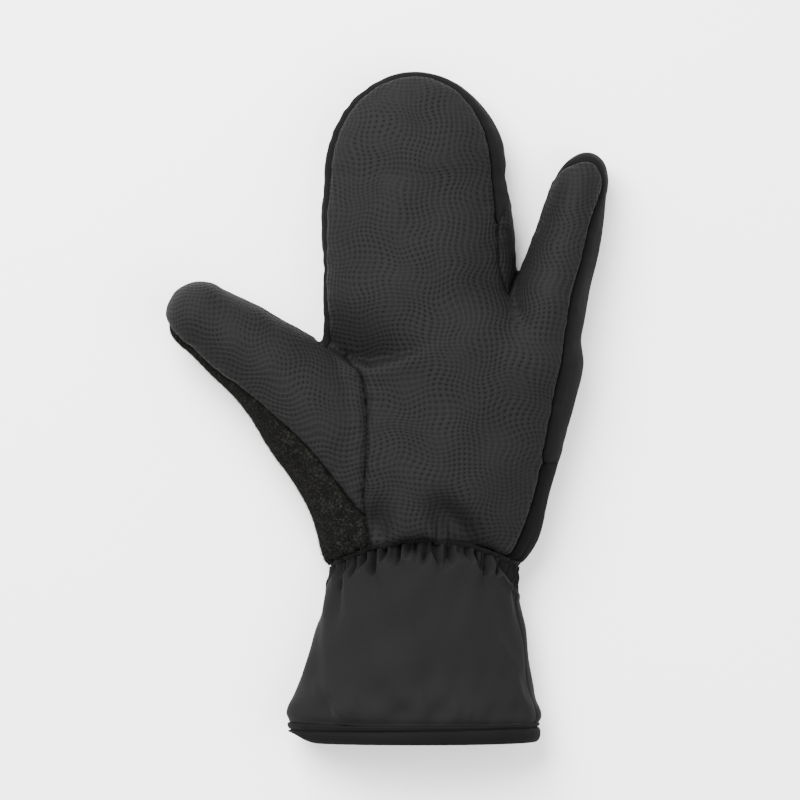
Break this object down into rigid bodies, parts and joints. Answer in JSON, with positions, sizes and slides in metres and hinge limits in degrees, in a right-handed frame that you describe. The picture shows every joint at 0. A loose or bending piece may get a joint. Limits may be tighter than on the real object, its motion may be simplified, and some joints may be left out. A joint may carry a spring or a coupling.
{
  "type": "lobster claw mitt",
  "caption": "Padded left-hand winter mitt with a broad finger pocket, a separate little finger, a thumb, a gathered wrist and a flared cuff.",
  "frame": {"origin": "middle of the mitt's outline seen from above, on the surface that the back of the mitt lies on", "axes": "+Y from the cuff to the fingertips, +Z out of the palm, -X towards the thumb"},
  "size_m": [0.191, 0.29, 0.0434],
  "materials": {
    "palm": "embossed synthetic leather, fine wavy rows of dots, matt",
    "gusset": "embossed synthetic leather, matt",
    "back": "softshell, dense matt weave",
    "yoke": "plain woven nylon, slight sheen",
    "thumb_front": "embossed synthetic leather, matt",
    "thumb_back": "short brushed pile, very matt, pale flecks",
    "casing": "gathered woven nylon",
    "cuff": "plain woven nylon, slight sheen",
    "hem_fold": "folded woven nylon",
    "hem_binding": "rolled woven nylon, stitched"
  },
  "bodies": {
    "root": {"palm_panel": "palm", "finger_gusset": "gusset", "back_panel": "back", "back_yoke": "yoke", "thumb_front_panel": "thumb_front", "thumb_back_panel": "thumb_back", "wrist_casing": "casing", "cuff": "cuff", "hem_fold": "hem_fold", "hem_binding": "hem_binding"}
  },
  "joints": []
}
